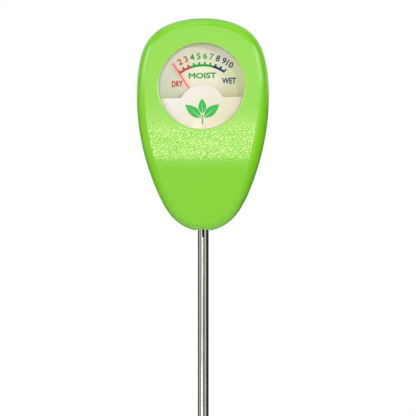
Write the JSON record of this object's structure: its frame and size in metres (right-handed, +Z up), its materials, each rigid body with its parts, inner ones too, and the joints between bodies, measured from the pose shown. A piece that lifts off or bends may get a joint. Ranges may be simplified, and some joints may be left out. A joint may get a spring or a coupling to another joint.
{
  "type": "soil moisture meter",
  "caption": "Egg-shaped plant soil moisture meter: round dial window with swinging pointer, on a slim metal probe that is pushed into the soil.",
  "frame": {"origin": "on the probe's axis, where the probe leaves the underside of the head", "axes": "+Z up the probe towards the head, dial facing -Y, +X to the right as the dial is read"},
  "size_m": [0.0606, 0.0257, 0.2793],
  "materials": {
    "green_plastic": "glossy edge band, fine spark-grain face",
    "clear_lens": "clear polished acrylic",
    "cream_plastic": "satin moulded cream",
    "dial_print": "matt printed ivory",
    "pointer_paint": "coral red paint",
    "plated_steel": "bright nickel plate with fine draw lines",
    "screw_steel": "zinc-plated",
    "brass": "satin brass",
    "bronze": "phosphor bronze",
    "copper": "enamelled copper wire",
    "black_plastic": "moulded black",
    "white_nylon": "natural nylon",
    "magnet": "ground magnet alloy",
    "soft_iron": "turned soft iron",
    "aluminium": "satin",
    "ruby": "polished synthetic ruby",
    "solder": "tin solder",
    "red_insulation": "PVC insulation",
    "black_insulation": "PVC insulation"
  },
  "bodies": {
    "housing": {"front_shell": "green_plastic", "rear_shell": "green_plastic", "housing_screws": "screw_steel", "window_lens": "clear_lens", "dial_cover": "cream_plastic", "dial_plate": "dial_print", "dial_screws": "brass", "movement_frame": "black_plastic", "frame_screws": "screw_steel", "yoke_ring": "soft_iron", "core_magnet": "magnet", "magnet_spacers": "white_nylon", "front_bridge": "brass", "bridge_screws": "screw_steel", "front_jewel_screw": "brass", "front_lock_nut": "brass", "front_jewel": "ruby", "rear_jewel_screw": "brass", "rear_jewel": "ruby", "rear_spring_anchor": "brass", "stop_pins": "screw_steel", "front_lug": "brass", "solder_joints": "solder", "negative_lead": "black_insulation", "positive_lead": "red_insulation", "sleeve_clip": "brass", "probe_sleeve": "plated_steel", "probe_insulator": "black_plastic", "probe_tip": "aluminium"},
    "moving_element": {"front_hairspring": "bronze", "rear_hairspring": "bronze", "coil_former": "aluminium", "coil_winding": "copper", "front_pivot": "screw_steel", "rear_pivot": "screw_steel", "pointer": "pointer_paint", "balance_cross": "screw_steel", "balance_weights": "screw_steel"},
    "zero_lever": {"zero_adjuster": "brass"}
  },
  "joints": [
    {"name": "pointer_swing", "type": "hinge", "parent": "housing", "child": "moving_element", "pos_m": [0, -0.004, 0.0558], "axis": [0, 1, 0], "range_deg": [0, 66], "stiffness_Nm_per_rad": 0.000012, "springref_deg": -2.86, "deforming": ["front_hairspring", "rear_hairspring"]},
    {"name": "zero_adjust", "type": "hinge", "parent": "housing", "child": "zero_lever", "pos_m": [0, -0.0057, 0.0558], "axis": [0, 1, 0], "range_deg": [-8, 8]}
  ]
}
